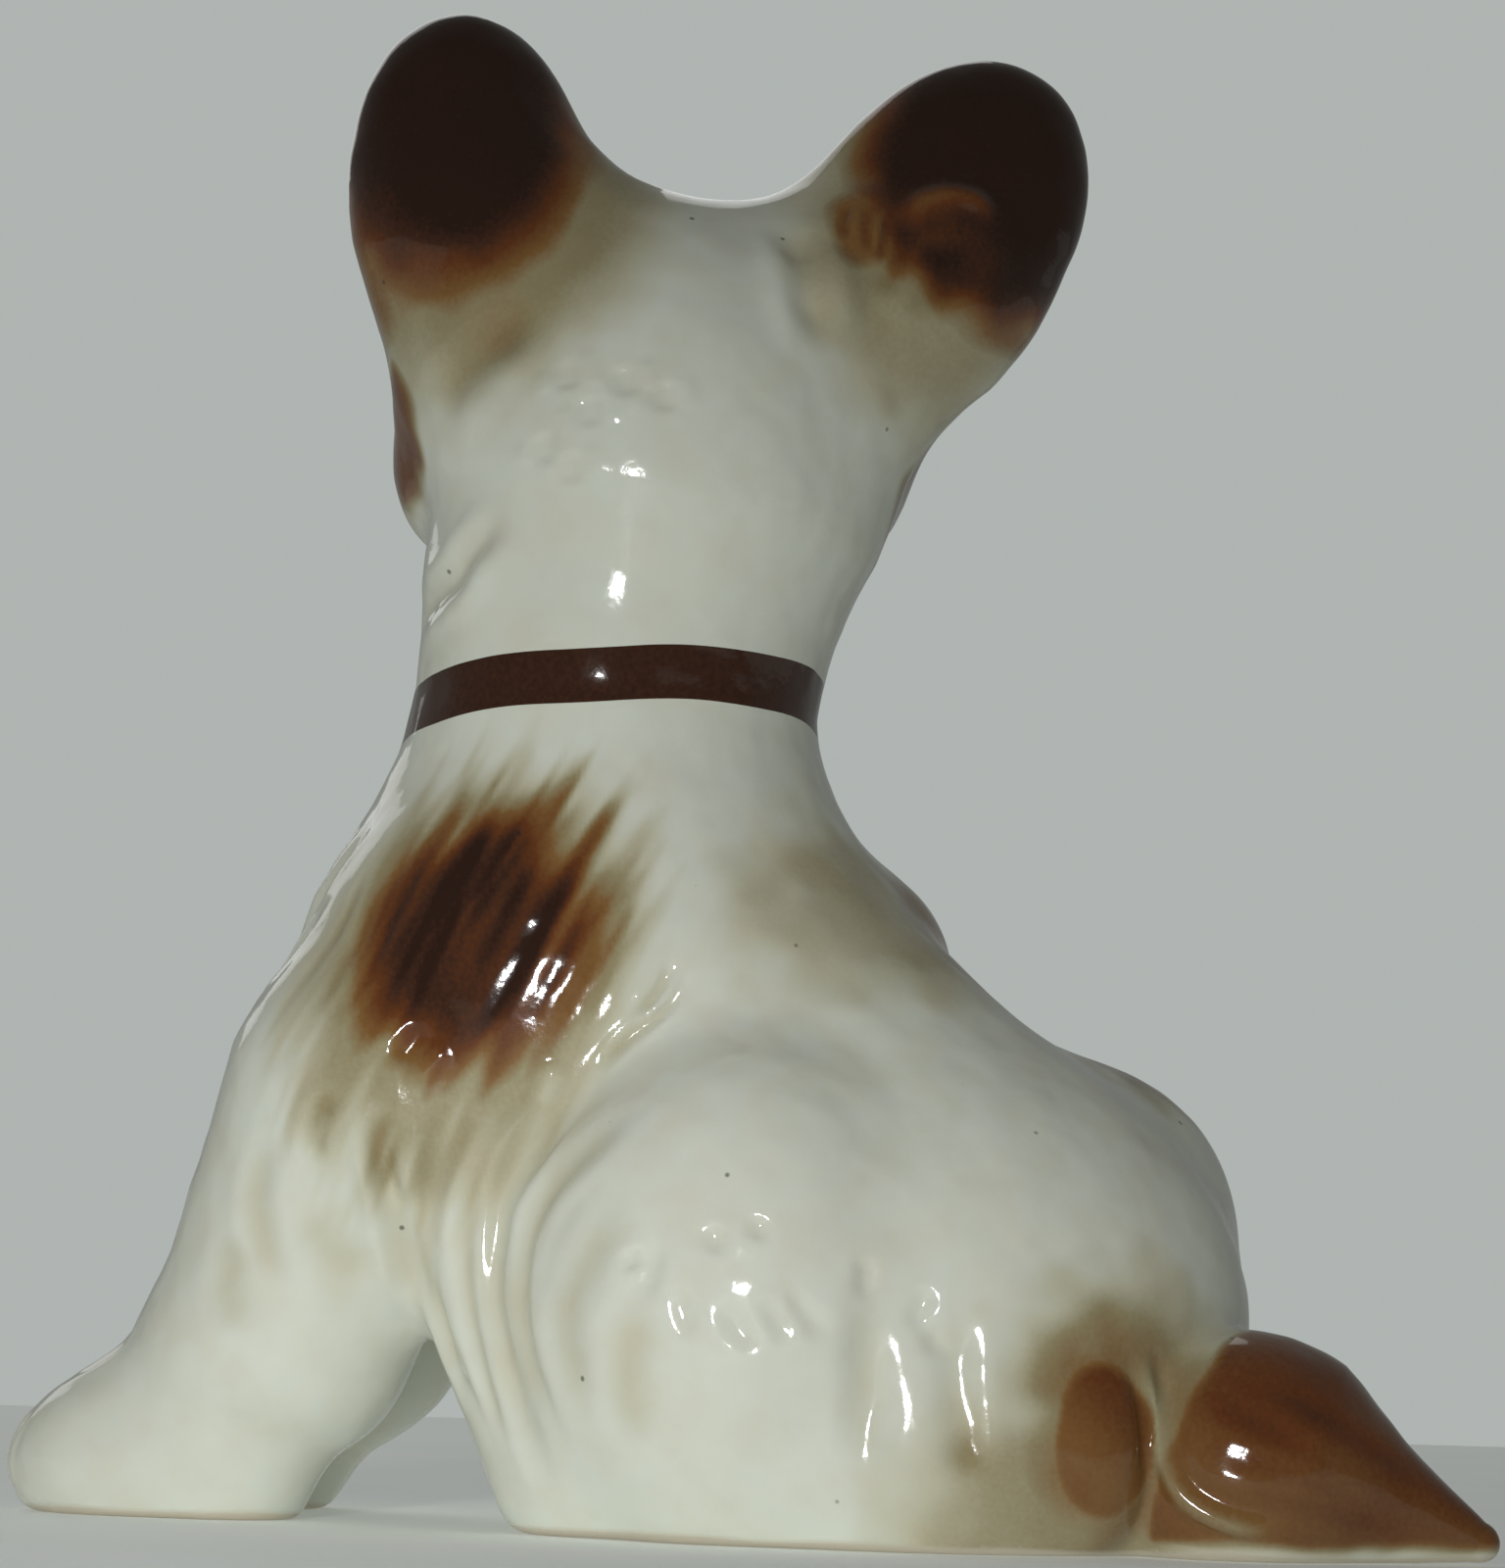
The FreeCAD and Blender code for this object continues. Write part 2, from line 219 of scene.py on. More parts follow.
def ear_form(points):
    """Both ears: rounded, fully furred clubs that flare out of the skull."""
    local = to_head(points)
    left = ellipsoid(local, (-16.6, -1, 15.6), (8.6, 5.5, 12.8), splayed(-14))
    left = blend(left, limb(local, (-13, 1, 2), (-15, -1, 12), 5.5, 7.0), 6)
    right = ellipsoid(local, (17.9, -1, 18.0), (9.7, 5.5, 14.0), splayed(26))
    right = blend(right, limb(local, (10, 1, 3), (16, -1, 12), 6, 8), 5)
    right = blend(right, ellipsoid(local, (12.4, -5.5, 15.8), (2.4, 2.6, 3.6)), 1.2)
    right = blend(right, ellipsoid(local, (10.4, -7.5, 11.2), (1.6, 1.8, 1.8)), 1.0)
    return blend(left, right, 1)


def tail_form(points):
    """The plume lying on the ground and the rounded lock beside its root."""
    form = ellipsoid(points, (3.2, 38.2, 6.0), (8.8, 9.6, 9.8))
    form = blend(form, limb(points, (2, 43, 5.6), (-1, 54.6, 1.5), 7.4, 1.5), 4)
    return blend(form, ellipsoid(points, (11.2, 30.2, 7), (4.4, 4.2, 6.2)), 0.6)


def eye_form(points, side):
    """A bead with a raised iris, for one eye: side is -1 for the left and 1 for the right."""
    local = to_head(points) * np.array([side, 1.0, 1.0])
    bead = ellipsoid(local, EYE, (2.3, 1.7, 2.3))
    return blend(bead, ellipsoid(local, EYE + IRIS_OFFSET, (1.35, 0.9, 1.35)), 0.12)


def nose_form(points):
    """A leathery nose with two nostrils and a groove down its middle."""
    pair = both_sides(to_head(points))
    form = blend(
        ellipsoid(pair, NOSE, (3.0, 2.1, 2.3)),
        ellipsoid(pair, NOSE + np.array([1.8, 0.5, -0.7]), (1.5, 1.5, 1.3)),
        0.8,
    )
    nostril = limb(pair, NOSE + np.array([1.2, 2.6, -0.6]), NOSE + np.array([2.2, 1.6, -0.4]), 0.5, 0.4)
    groove = limb(pair, NOSE + np.array([0, 2.4, -0.4]), NOSE + np.array([0, 1.9, -2.6]), 0.3, 0.35)
    return meet(form, -np.minimum(nostril, groove), 0.35)


def dog_form(points):
    """The whole dog, flat underneath: negative inside, and the distance to the skin outside."""
    head = blend(head_form(points), ear_form(points), 8)
    form = blend(body_form(points), head, 3)
    form = blend(form, tail_form(points), 1.5)
    return meet(form, -points[:, 2], 0.8)


def outward(form, points, step=0.05):
    """The outward direction of a form at each point near its skin."""
    slope = np.empty_like(points)
    for axis in range(3):
        nudge = np.zeros(3)
        nudge[axis] = step
        slope[:, axis] = form(points + nudge) - form(points - nudge)
    return slope / np.maximum(np.linalg.norm(slope, axis=1, keepdims=True), 1e-9)


# ---------------------------------------------------------------- noise

def lattice_noise(points, cell, seed):
    """Smooth noise from -1 to 1, with features about one cell across."""
    values = np.random.default_rng(seed).uniform(-1.0, 1.0, 4096)
    scaled = points / cell
    corner = np.floor(scaled).astype(np.int64)
    share = scaled - corner
    share = share * share * (3 - 2 * share)
    total = np.zeros(len(points))
    for offset in np.ndindex(2, 2, 2):
        at = corner + offset
        key = (at[:, 0] * 73856093) ^ (at[:, 1] * 19349663) ^ (at[:, 2] * 83492791)
        weight = np.prod(np.where(np.array(offset) == 1, share, 1 - share), axis=1)
        total += weight * values[key & 4095]
    return total


def rise(value, low, high):
    """A smooth step from 0 at low to 1 at high."""
    share = np.clip((value - low) / (high - low), 0.0, 1.0)
    return share * share * (3 - 2 * share)


# ---------------------------------------------------------------- fur tooling

class Tooling:
    """Strokes gathered over the skin: how deep it sinks, where stain pools and where paint wears."""

    def __init__(self, skin):
        self.skin = skin
        self.sink = np.zeros(len(skin))
        self.pool = np.zeros(len(skin))
        self.worn = np.zeros(len(skin))

    def stroke(self, route, width, depth, lip=0.35, taper=0.3, pool=1.0):
        """Press a stroke along a route of points near the skin; negative depth raises it."""
        route = smooth_route(np.asarray(route, float))
        reach = width * 3.0
        low = route.min(axis=0) - reach
        high = route.max(axis=0) + reach
        near = np.flatnonzero(np.all((self.skin > low) & (self.skin < high), axis=1))
        if len(near) == 0:
            return
        distance, share = nearest_on_route(self.skin[near], route)
        strength = rise(share, 0.0, taper) * rise(1 - share, 0.0, taper)
        furrow = np.exp(-((distance / width) ** 2))
        ridge = np.exp(-(((distance - 1.7 * width) / (0.8 * width)) ** 2))
        self.sink[near] += depth * strength * (furrow - lip * ridge)
        if depth > 0:
            self.pool[near] = np.maximum(self.pool[near], pool * strength * furrow)
        else:
            self.worn[near] = np.maximum(self.worn[near], strength * furrow)


def smooth_route(points, steps=5):
    """A route through the given points, rounded by a Catmull-Rom spline."""
    if len(points) < 3:
        return points
    ends = np.vstack([2 * points[0] - points[1], points, 2 * points[-1] - points[-2]])
    smooth = []
    for before, start, end, after in zip(ends, ends[1:], ends[2:], ends[3:]):
        for share in np.arange(steps) / steps:
            smooth.append(
                0.5
                * (
                    2 * start
                    + (end - before) * share
                    + (2 * before - 5 * start + 4 * end - after) * share**2
                    + (3 * start - before - 3 * end + after) * share**3
                )
            )
    smooth.append(points[-1])
    return np.array(smooth)


def nearest_on_route(points, route):
    """For each point, its distance from the route and how far along the route it lies."""
    lengths = np.linalg.norm(np.diff(route, axis=0), axis=1)
    before = np.concatenate([[0.0], np.cumsum(lengths)])
    best = np.full(len(points), np.inf)
    share = np.zeros(len(points))
    for start, end, length, passed in zip(route, route[1:], lengths, before):
        along = (points - start) @ (end - start) / max(length * length, 1e-9)
        along = np.clip(along, 0.0, 1.0)
        gap = np.linalg.norm(points - start - along[:, None] * (end - start), axis=1)
        closer = gap < best
        best[closer] = gap[closer]
        share[closer] = (passed + along[closer] * length) / before[-1]
    return best, share


def onto_skin(starts, direction):
    """Move points along a direction until they reach the dog's skin."""
    points = np.array(starts, float)
    direction = np.asarray(direction, float)
    for _ in range(LANDING_STEPS):
        points = points + np.maximum(dog_form(points), 0.0)[:, None] * 0.8 * direction
    return points


def on_flank(route, side=1):
    """A route given as (along, height) pairs, laid on the left (1) or right (-1) flank."""
    outside = [(side * 45.0, along, height) for along, height in route]
    return onto_skin(outside, (-side, 0, 0))


def on_chest(route):
    """A route given as (across, height) pairs, laid on the dog's front."""
    outside = [(across, -70.0, height) for across, height in route]
    return onto_skin(outside, (0, 1, 0))


def on_head(route, direction):
    """A route of head points (right, forward, up), moved along a head direction onto the head."""
    return onto_skin(from_head(route), HEAD_AXES @ np.asarray(direction, float))


# Directions in the head's own frame.
FORWARD = (0, 1, 0)
BACKWARD = (0, -1, 0)

# Furrows between the long locks of the flank: width, depth, and a route of (along, height) pairs
# from the shoulder down round the front of the haunch.
FLANK_FURROWS = [
    (1.0, 0.75, [(-18.5, 29), (-19, 25), (-19, 21.5), (-18.8, 17.5), (-18.2, 14)]),
    (1.1, 0.60, [(-14.0, 30), (-15.6, 26), (-17, 22.5), (-17.3, 18), (-15.8, 13), (-13, 8)]),
    (0.8, 0.45, [(-11.4, 28), (-13.0, 24), (-13.6, 20), (-13.2, 16), (-12, 11.5), (-9.5, 5.5)]),
    (
        1.2, 0.70,
        [(-4.5, 32.5), (-7.8, 28), (-10.7, 24), (-11.3, 20), (-10.8, 15), (-8.6, 9), (-5.2, 2.3)],
    ),
    (1.3, 0.42, [(1.0, 31.5), (-2.4, 28), (-6.6, 24), (-8.5, 19.5), (-8.3, 14.5), (-6.4, 9), (-4, 4)]),
    (1.5, 0.20, [(1.6, 24), (-1.6, 20), (-3.8, 15.5), (-3, 11), (-1, 8.5)]),
    (1.5, 0.13, [(3.2, 17), (1.6, 13), (1.4, 9.5), (3, 6.5)]),
]
# Soft furrows on the outside of each upper foreleg, below the shoulder patch.
FORELEG_FURROWS = [
    (0.8, 0.38, [(-22.5, 31), (-24.2, 28), (-24, 25.2)]),
    (0.8, 0.40, [(-18.5, 29.5), (-19.8, 27), (-19.4, 24), (-18, 22)]),
    (1.2, 0.22, [(-27.5, 28), (-29, 23.5), (-28.5, 19.5), (-26.5, 17)]),
    (1.6, 0.22, [(-25.5, 22.5), (-23.5, 19.5), (-21, 18)]),
    (1.5, 0.16, [(-30.5, 21), (-31.5, 17), (-30.5, 13)]),
]
# Short scooped cuts across the haunch, as routes of (along, height) pairs.
HAUNCH_CUTS = [
    [(3.3, 21.2), (3.0, 18.6), (2.1, 16.3)],
    [(1.2, 20.4), (1.8, 18.6)],
    [(4.8, 18.2), (5.7, 15.6), (6.2, 13.8)],
    [(7.2, 22.2), (7.8, 19.8)],
    [(10.5, 22.8), (10.1, 20.8)],
    [(8.1, 17.2), (9.4, 14.9), (11.0, 13.4)],
    [(10.7, 17.4), (12.1, 15.2), (13.1, 14.2)],
    [(11.9, 18.4), (13.6, 16.0), (15.3, 14.7)],
    [(17.1, 20.4), (16.8, 17.0)],
    [(20.9, 18.4), (19.8, 15.0)],
    [(20.9, 16.2), (21.7, 13.0)],
]
# Long creases that run down behind each haunch towards the tail.
RUMP_CREASES = [
    [(18.2, 20), (17.4, 16), (17.1, 11), (17.4, 4)],
    [(23.4, 18), (22.8, 13), (23.7, 8), (24, 3)],
]


def tool_flanks(tooling):
    """Long locks from the shoulders down round the front of each haunch."""
    for side in (1, -1):
        for width, depth, route in FLANK_FURROWS + FORELEG_FURROWS:
            tooling.stroke(on_flank(route, side), width, depth, lip=0.45, taper=0.3, pool=0.85)


def tool_chest(tooling):
    """Locks that fall from the collar down the chest, feathering down the legs, and the toes."""
    rng = np.random.default_rng(11)
    for row, (height, length) in enumerate(((52, 11), (44, 12), (35, 12))):
        for number in range(7):
            across = (number - 3) * 3.6 + 1.8 * (row % 2) + rng.uniform(-0.5, 0.5)
            top = height + rng.uniform(-1.5, 1.5)
            route = [
                (across * 1.05, top),
                (across * 0.9 + 0.6, top - length / 2),
                (across * 0.6, top - length),
            ]
            tooling.stroke(on_chest(route), width=1.0, depth=0.32, lip=0.5, taper=0.35, pool=0.5)
    for side in (1, -1):
        for across, top in ((6.0, 27), (9.0, 25), (12.5, 26), (8.0, 17), (11.5, 16)):
            route = [(side * across, top), (side * (across + 0.6), top - 3.5), (side * across, top - 7)]
            tooling.stroke(on_chest(route), width=0.9, depth=0.22, lip=0.5, taper=0.4, pool=0.3)
        for toe in (6.2, 9.4, 12.6):
            route = [(side * toe, 7.6), (side * (toe + 0.1), 4.6), (side * toe, 1.2)]
            tooling.stroke(on_chest(route), width=0.65, depth=0.6, lip=0.35, taper=0.3, pool=0.9)


def tool_haunches(tooling):
    """Scooped cuts across each haunch, and the creases that run down towards the tail."""
    for side in (1, -1):
        for route in HAUNCH_CUTS:
            tooling.stroke(on_flank(route, side), width=0.8, depth=0.30, lip=0.1, taper=0.4, pool=0.2)
        for route in RUMP_CREASES:
            tooling.stroke(on_flank(route, side), width=1.4, depth=0.4, taper=0.35, pool=0.6)


def tool_shoulders(tooling):
    """Fine cuts that stream down and forward through each shoulder patch."""
    rng = np.random.default_rng(7)
    for side in (1, -1):
        for number in range(20):
            along = -24 + 1.2 * number + rng.uniform(-0.6, 0.6)
            top = 45 + 6 * math.sin(math.pi * number / 19) + rng.uniform(-4, 1.5)
            length = rng.uniform(7, 15)
            route = [
                (along, top),
                (along - 0.20 * length, top - 0.5 * length),
                (along - 0.44 * length, top - length),
            ]
            depth = rng.uniform(0.03, 0.09)
            tooling.stroke(on_flank(route, side), width=0.6, depth=depth, lip=0.2, pool=0.5)
        for route in (
            [(1.6, 39.6), (0.2, 37.0), (-2.3, 34.8), (-4.4, 32.4)],
            [(0.6, 40.4), (-0.4, 38.2), (-1.9, 36.4)],
        ):
            tooling.stroke(on_flank(route, side), width=0.4, depth=0.3, lip=0.5, pool=0.8)
        hollow = [(-16.0, 35.4), (-17.2, 34.0), (-18.4, 32.4)]
        tooling.stroke(on_flank(hollow, side), width=1.0, depth=0.4, lip=0.5, pool=0.3)
        crest = [(-6.8, 33.2), (-7.6, 31.6), (-8.4, 29.6)]
        tooling.stroke(on_flank(crest, side), width=0.9, depth=-0.35, lip=0.2)


def tool_back_of_head(tooling):
    """Creases round the ears, the tuft and the raised loop of the right ear, and a few fine dabs."""
    creases = (
        (1.7, 0.70, [(-10.5, 6.0), (-13.2, 3.5), (-15.2, 1.0), (-17.2, -2.0)]),
        (1.2, 0.80, [(-10.5, -8.5), (-13.1, -11.9), (-14.2, -14.2), (-15.4, -17)]),
        (1.4, 0.75, [(7.0, 15.5), (7.8, 12.5), (8.6, 9.5), (10.2, 6.0)]),
        (1.0, 0.45, [(12.6, 11.0), (14.2, 13.0), (14.6, 15.6), (13.8, 18.4)]),
        (0.45, 0.30, [(10.6, 18.2), (10.2, 16.4), (10.6, 14.8)]),
        (0.45, 0.30, [(12.2, 18.6), (11.9, 16.4), (12.4, 14.0)]),
        (0.45, 0.25, [(13.4, 17.6), (13.3, 15.6), (13.0, 13.6)]),
        (2.6, 0.40, [(17.0, 16.4), (18.2, 13.6), (19.4, 11.4)]),
    )
    for width, depth, route in creases:
        places = [(right, -30, up) for right, up in route]
        tooling.stroke(on_head(places, FORWARD), width, depth, lip=0.25, pool=0.6)
    for right, up in ((-8.3, 1.1), (-4.2, 1.1), (-1.4, 0.4), (-6.4, -1.4), (-9.0, -4.3), (-7.0, -5.5)):
        dab = [(right - 0.5, -30, up + 1.2), (right, -30, up), (right + 0.3, -30, up - 1.2)]
        tooling.stroke(on_head(dab, FORWARD), width=1.0, depth=0.24, lip=0.5, pool=0)
    ridge = [(14.8, -30, 16.4), (15.6, -30, 18.6), (17.6, -30, 19.7), (20, -30, 19.6), (21.8, -30, 18.0)]
    tooling.stroke(on_head(ridge, FORWARD), width=0.9, depth=-0.45, lip=0.3)


def tool_face(tooling):
    """The hollows of the ears, the ruff under the jaw, the brow, the mouth and the eyelids."""
    for hollow in ([(-15.6, 22), (-15.4, 17), (-14.6, 12)], [(20.8, 23.5), (18.6, 18), (16.2, 13)]):
        places = [(right, 30, up) for right, up in hollow]
        tooling.stroke(on_head(places, BACKWARD), width=3.4, depth=1.9, lip=0.12, taper=0.35, pool=0.1)
    for side in (-1, 1):
        for number in range(7):
            start = 10.5 + 1.0 * number
            ruff = [
                (side * start, 40, -5.0 + 0.9 * number),
                (side * (start - 0.6), 40, -8.5 + 0.7 * number),
                (side * (start - 2.2), 40, -12.0 + 0.6 * number),
            ]
            tooling.stroke(on_head(ruff, BACKWARD), width=0.8, depth=0.35, lip=0.5, taper=0.35, pool=0.5)
        for number in range(4):
            brow = [
                (side * (1.5 + 2.3 * number), 40, 8.2 + 0.4 * number),
                (side * (2.0 + 2.6 * number), 40, 11.2 + 0.3 * number),
                (side * (2.2 + 3.2 * number), 40, 14.0 - 0.3 * number),
            ]
            tooling.stroke(on_head(brow, BACKWARD), width=0.7, depth=0.26, lip=0.5, taper=0.35, pool=0.4)
        mouth = [(0.3 * side, 40, -9.8), (3.5 * side, 40, -10.8), (7 * side, 40, -8.8)]
        tooling.stroke(on_head(mouth, BACKWARD), width=0.5, depth=0.6, taper=0.15, pool=2.5)
        for turn in (-1, 1):
            lid = [
                (EYE[0] * side + 2.9 * math.cos(angle), 40, EYE[2] + 2.6 * turn * math.sin(angle))
                for angle in np.linspace(0, math.pi, 7)
            ]
            tooling.stroke(on_head(lid, BACKWARD), width=0.7, depth=-0.45, lip=0.2, taper=0.05)


def tool_tail(tooling):
    """A raised rib between the plume and the lock beside it, and soft furrows along the plume."""
    rib = [(33.4, 14.4), (34.0, 12), (34.7, 9.4), (35.7, 6.5), (37.2, 4.2), (40, 2.7), (44, 2.0)]
    tooling.stroke(on_flank(rib), width=0.75, depth=-0.5, lip=0.5, taper=0.2)
    for start, height in ((37, 11.5), (38, 8), (40, 5), (41, 12.5)):
        furrow = [(start, height), (start + 5, height * 0.8), (start + 11, height * 0.42)]
        tooling.stroke(on_flank(furrow), width=0.9, depth=0.10, lip=0.4, pool=0.3)


def tool_fur(skin):
    """All the tool marks on the dog's skin."""
    tooling = Tooling(skin)
    tool_flanks(tooling)
    tool_chest(tooling)
    tool_haunches(tooling)
    tool_shoulders(tooling)
    tool_back_of_head(tooling)
    tool_face(tooling)
    tool_tail(tooling)
    return tooling


# ---------------------------------------------------------------- the skin

def mesh_form(form, low, high, step):
    """Points and quads on the surface of a form, found on a grid and settled by Newton steps."""
    lines = [np.arange(start, end, step) for start, end in zip(low, high)]
    grid = np.stack(np.meshgrid(*lines, indexing="ij"), axis=-1)
    depth = form(grid.reshape(-1, 3)).reshape(grid.shape[:3])
    volume = openvdb.FloatGrid(background=5.0)
    volume.copyFromArray(depth.astype(np.float32))
    points, quads = volume.convertToQuads(0.0)
    rough = bpy.data.meshes.new("rough")
    rough.from_pydata((points * step + low).tolist(), [], quads[:, ::-1].tolist())
    holder = bpy.data.objects.new("rough", rough)
    bpy.context.scene.collection.objects.link(holder)
    divide = holder.modifiers.new("divide", "SUBSURF")
    divide.levels = SUBDIVISIONS
    divide.render_levels = SUBDIVISIONS
    fine = bpy.data.meshes.new_from_object(
        holder.evaluated_get(bpy.context.evaluated_depsgraph_get())
    )
    skin = np.empty(len(fine.vertices) * 3)
    fine.vertices.foreach_get("co", skin)
    corners = np.empty(len(fine.loops), dtype=np.int32)
    fine.loops.foreach_get("vertex_index", corners)
    bpy.data.objects.remove(holder)
    bpy.data.meshes.remove(rough)
    bpy.data.meshes.remove(fine)
    skin = skin.reshape(-1, 3)
    for _ in range(SETTLING_STEPS):
        skin -= form(skin)[:, None] * outward(form, skin)
    return skin, corners.reshape(-1, 4)


def model_skin():
    """The tooled skin of the whole dog: its points, its quads and its paint."""
    low = np.array(cad_box[0]) / MM - 3 * GRID_STEP
    high = np.array(cad_box[1]) / MM + 3 * GRID_STEP
    skin, quads = mesh_form(dog_form, low, high, GRID_STEP)
    normals = outward(dog_form, skin)
    tooling = tool_fur(skin)
    swell = (
        0.10 * lattice_noise(skin, 6.0, 1)
        + 0.065 * lattice_noise(skin, 2.6, 2)
        + 0.035 * lattice_noise(skin, 1.5, 8)
    )
    standing = rise(skin[:, 2], 0.3, 1.5)
    tooled = skin + normals * ((swell - tooling.sink) * standing)[:, None]
    tooled[:, 2] = np.maximum(tooled[:, 2], 0.0)
    return tooled, quads, paint(skin, tooling)


# ---------------------------------------------------------------- paint

# Where the airbrush went, with painted shade on the tail's lock added in, for the paint's thickness:
# none is 0, a buff mist is about 0.3, orange is about 0.5, chestnut is about 0.75 and full umber is 1.

PATCH_CENTER = np.array([0.0, -13.5, 41.5])
# The way the shoulder fur lies, down and forward, and the way across it.
FUR_DOWN = np.array([0.0, -0.40, -0.917])
FUR_ACROSS = np.array([0.0, 0.917, -0.40])


def spot(points, center, radii, soft):
    """1 at the middle of an ellipsoidal spot and 0.5 on its rim, fading across its soft edge."""
    scaled = np.linalg.norm((points - np.asarray(center, float)) / np.asarray(radii, float), axis=1)
    return 1 - rise(scaled, 1 - soft, 1 + soft)


def fur_streaks(points):
    """Noise drawn out along the shoulder fur, which runs down and forward."""
    down = points @ FUR_DOWN
    across = points @ FUR_ACROSS
    strands = np.stack([points[:, 0] / 3, across, down / 9], axis=1)
    return lattice_noise(strands, 1.3, 3) + 0.6 * lattice_noise(strands, 0.6, 4)


def paint_shoulders(skin):
    """A leaf-shaped patch on each shoulder, feathered along the fur and browner in its streaks."""
    streaks = fur_streaks(skin)
    side = both_sides(skin)
    down = (side - PATCH_CENTER) @ FUR_DOWN
    across = (side - PATCH_CENTER) @ FUR_ACROSS
    reach = np.hypot(across / 10.6, (down + 2.2 * streaks) / 12.6)
    on_side = rise(side[:, 0], 4.0, 9.0)
    core = 1 - rise(reach, 0.40, 1.24)
    mist = 1 - rise(np.hypot(across / 13.5, (down - 3.0 + 3.0 * streaks) / 16.5), 0.6, 1.15)
    return on_side * np.maximum(core * (0.87 + 0.08 * streaks), 0.30 * mist)


def paint_ears(local):
    """Umber ears, fading through orange to a buff mist round their roots."""
    left = spot(local, (-18.3, -1, 19.3), (9.9, 30, 13.2), 0.44)
    outer_edge = spot(local, (-22.0, -1, 8.5), (3.4, 9, 7.0), 0.6)
    left_mist = spot(local, (-14.5, -1, 14.0), (12.0, 20, 15.0), 0.30)
    right = spot(local, (21.6, -1, 22.0), (11.2, 30, 11.8), 0.30)
    tuft = spot(local, (12.2, -5, 16.4), (3.4, 9, 4.2), 0.4)
    right_mist = spot(local, (17.0, -1, 15.5), (10.4, 20, 13.5), 0.30)
    thin = [0.34 * left_mist, 0.30 * right_mist, 0.52 * tuft, 0.5 * outer_edge]
    right = right * (1 - 0.2 * spot(local, (17.2, -8, 14.5), (5.0, 20, 4.5), 0.5))
    return np.maximum.reduce([left, right] + thin)


def paint_face(local, cloud):
    """A patch over each eye and cheek, with a white blaze between them."""
    side = both_sides(local)
    mask = spot(side, (12.4, 8.4, -0.6), (7.6, 10.4, 9.0), 0.24)
    cheek = spot(side, (18.6, 1.8, -3.2), (2.8, 5.6, 6.8), 0.3)
    return 0.8 * np.maximum(mask, cheek) * (0.92 + 0.1 * cloud)


def paint_back(skin, cloud):
    """A buff tint that darkens the top of the back over the withers, and brown spots down the right side
    of the back.
    """
    withers = spot(skin, (2, 10, 44), (15, 9, 7), 0.5)
    first = spot(skin, (-8, 12.5, 42.5), (9.5, 6.5, 7.0), 0.45)
    second = spot(skin, (-12, 25.5, 33), (7.0, 5.5, 7.0), 0.45)
    root = spot(skin, (12, 33, 9), (10, 8.0, 9.5), 0.55)
    skirt = spot(skin, (15, 28, 3), (9.0, 9.0, 7.5), 0.6)
    shades = [0.27 * withers, 0.62 * first, 0.56 * second, 0.46 * root, 0.30 * skirt]
    return np.maximum.reduce(shades) * (0.95 + 0.2 * cloud)


def paint_tail(skin, cloud):
    """A red-brown plume and lock above bare cream at the ground, the plume darker along its top; the
    lock's darkening towards its top and the rib is painted shade of the crease between them.
    """
    from_root = (skin - PLUME_ROOT) @ PLUME_JOINT
    plume = rise(from_root, -1.3, 0.7)
    lock = spot(skin, (14.4, 32.4, 8.0), (4.2, 4.2, 6.0), 0.24)
    plume_top = rise(skin[:, 2] + 0.55 * (skin[:, 1] - 40), 4, 16)
    # Painted shade: the lock is painted darker towards its top and the plume, where the crease by the
    # rib lies in shade.
    lock_painted_shade = rise(skin[:, 2] + 1.2 * (skin[:, 1] - 32), 5, 13)
    plume *= 0.58 + 0.06 * cloud + 0.11 * plume_top
    lock *= 0.53 + 0.06 * cloud + 0.18 * lock_painted_shade
    return np.maximum(plume, lock) * rise(skin[:, 2], 0.2, 1.7)


def paint(skin, tooling):
    """Amounts over the skin from 0 to 1: the brown paint's thickness, with painted shade on the tail's
    lock in it, and the bare clay.
    """
    local = to_head(skin)
    cloud = lattice_noise(skin, 5.0, 5)
    wander = np.stack([lattice_noise(skin, 2.4, seed) for seed in (6, 9, 10)], axis=1)
    brown = np.maximum.reduce(
        [
            paint_shoulders(skin),
            paint_ears(local + 0.8 * wander),
            paint_face(local + 0.7 * wander, cloud),
            paint_back(skin + 1.6 * wander, cloud),
            paint_tail(skin + 0.3 * wander, cloud),
        ]
    )
    brown = brown * (1 - 0.3 * tooling.worn) + tooling.pool * (0.12 + 0.22 * brown)
    bare = 1 - rise(skin[:, 2] + 0.25 * cloud, 0.35, 0.7)
    return {"brown": np.clip(brown, 0, 1), "bare": bare}


# ---------------------------------------------------------------- parting into pieces

def joined_form(points, quads, colours, cut_places):
    """A closed form that keeps its points' places, smooth normals and paint while it is cut.

    It is cut in the cut places, which may be bent so that flat cuts come out wavy.
    """
    mesh = bpy.data.meshes.new("dog")
    mesh.from_pydata(points.tolist(), [], quads.tolist())
    mesh.polygons.foreach_set("use_smooth", [True] * len(mesh.polygons))
    normals = np.empty(len(points) * 3)
    mesh.vertex_normals.foreach_get("vector", normals)
    mesh.attributes.new("sheen", "FLOAT_VECTOR", "POINT").data.foreach_set("vector", normals)
    mesh.attributes.new("place", "FLOAT_VECTOR", "POINT").data.foreach_set(
        "vector", points.ravel()
    )
    for name, values in colours.items():
        mesh.attributes.new(name, "FLOAT", "POINT").data.foreach_set("value", values)
    mesh.vertices.foreach_set("co", cut_places.ravel())
    form = bmesh.new()
    form.from_mesh(mesh)
    bpy.data.meshes.remove(mesh)
    return form


